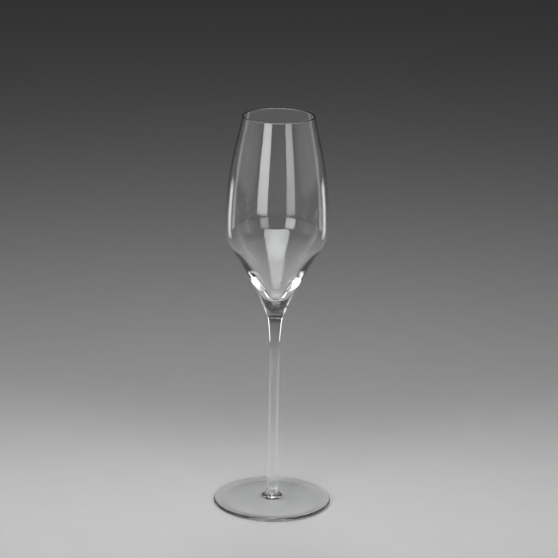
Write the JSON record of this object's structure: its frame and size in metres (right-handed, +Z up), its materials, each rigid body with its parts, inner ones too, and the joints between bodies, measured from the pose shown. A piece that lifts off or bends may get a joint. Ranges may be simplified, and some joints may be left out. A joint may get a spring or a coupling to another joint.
{
  "type": "champagne flute",
  "caption": "Tall hand-made champagne flute in clear glass: tapered tulip bowl with a pointed base, slender solid stem and wide thin foot.",
  "frame": {"origin": "on the table, in the middle of the foot's flat rest ring and under the glass's axis", "axes": "+Z up along the axis of the bowl, stem and foot; X and Y are any two horizontal directions, because the glass is round"},
  "size_m": [0.0742, 0.0742, 0.25],
  "materials": {
    "bowl_glass": "clear, fire polished",
    "stem_glass": "clear, fire polished",
    "foot_glass": "clear, fire polished"
  },
  "bodies": {
    "root": {"bowl": "bowl_glass", "stem": "stem_glass", "foot": "foot_glass"}
  },
  "joints": []
}
